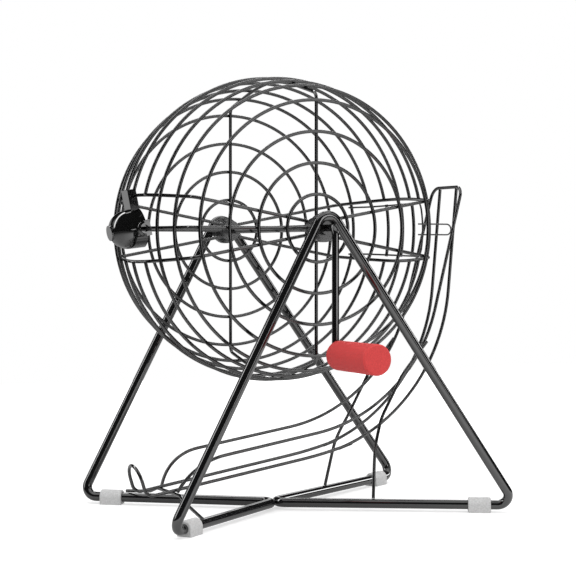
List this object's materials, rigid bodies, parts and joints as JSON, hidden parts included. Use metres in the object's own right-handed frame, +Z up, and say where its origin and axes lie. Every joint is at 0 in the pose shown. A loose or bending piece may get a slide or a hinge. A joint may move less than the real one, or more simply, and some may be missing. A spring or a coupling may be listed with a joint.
{
  "type": "raffle drum with crank",
  "caption": "Wire ball cage turned by a hand crank on a rod stand, with a tilting ball cup, a hinged door and a rail chute that leads a drawn ball to a stop loop.",
  "frame": {"origin": "on the floor, in the middle of the overall box", "axes": "+Z up, +Y along the axle away from the crank, +X toward the top of the chute"},
  "size_m": [0.2548, 0.235, 0.2896],
  "materials": {
    "stand_rod_coating": "glossy black coating",
    "wire_coating": "glossy black coating",
    "hub_plastic": "dark grey moulded plastic",
    "bush_plastic": "black moulded plastic",
    "cup_plastic": "glossy black moulded plastic",
    "knob_plastic": "satin red moulded plastic",
    "foot_clip_plastic": "off-white soft plastic"
  },
  "bodies": {
    "stand": {"front_stand_frame": "stand_rod_coating", "rear_stand_frame": "stand_rod_coating", "left_base_rod": "stand_rod_coating", "right_base_rod": "stand_rod_coating", "front_left_foot_clip": "foot_clip_plastic", "rear_left_foot_clip": "foot_clip_plastic", "front_right_foot_clip": "foot_clip_plastic", "rear_right_foot_clip": "foot_clip_plastic", "front_axle_bush": "bush_plastic", "rear_axle_bush": "bush_plastic", "side_rail_wire": "wire_coating", "floor_rail_wire": "wire_coating", "cradle_wire": "wire_coating", "front_rail_support": "wire_coating", "rear_rail_support": "wire_coating"},
    "cage": {"bottom_long_wire": "wire_coating", "crank_axle": "stand_rod_coating", "front_barrel_ring": "wire_coating", "front_cup_pivot_wire": "wire_coating", "front_cut_ring_lower": "wire_coating", "front_cut_ring_upper": "wire_coating", "front_door_side_cut_ring": "wire_coating", "front_face_ring_1": "wire_coating", "front_face_ring_2": "wire_coating", "front_face_ring_3": "wire_coating", "front_face_ring_4": "wire_coating", "front_hub": "hub_plastic", "left_lower_long_wire": "wire_coating", "left_upper_long_wire": "wire_coating", "middle_cut_ring_lower": "wire_coating", "middle_cut_ring_upper": "wire_coating", "rear_barrel_ring": "wire_coating", "rear_cup_pivot_wire": "wire_coating", "rear_cut_ring_lower": "wire_coating", "rear_cut_ring_upper": "wire_coating", "rear_door_side_cut_ring": "wire_coating", "rear_face_ring_1": "wire_coating", "rear_face_ring_2": "wire_coating", "rear_face_ring_3": "wire_coating", "rear_face_ring_4": "wire_coating", "rear_hub": "hub_plastic", "right_lower_long_wire": "wire_coating", "right_upper_long_wire": "wire_coating", "top_long_wire": "wire_coating"},
    "knob": {"crank_knob": "knob_plastic"},
    "cup": {"ball_cup": "cup_plastic"},
    "door": {"door_frame": "wire_coating", "door_front_bar": "wire_coating", "door_middle_bar": "wire_coating", "door_rear_bar": "wire_coating", "door_pull_loop": "wire_coating"}
  },
  "joints": [
    {"name": "crank_turn", "type": "hinge", "parent": "stand", "child": "cage", "pos_m": [-0.0115, 0.0295, 0.188], "axis": [0, 1, 0], "continuous": true},
    {"name": "knob_spin", "type": "hinge", "parent": "cage", "child": "knob", "pos_m": [-0.0115, -0.0905, 0.1091], "axis": [0, 1, 0], "continuous": true},
    {"name": "cup_swing", "type": "hinge", "parent": "cage", "child": "cup", "pos_m": [-0.107, 0.0295, 0.188], "axis": [0, -1, 0], "range_deg": [0, 147]},
    {"name": "door_swing", "type": "hinge", "parent": "cage", "child": "door", "pos_m": [0.07815, 0.0827, 0.188], "axis": [0, 0, 1], "range_deg": [-60, 0]}
  ]
}
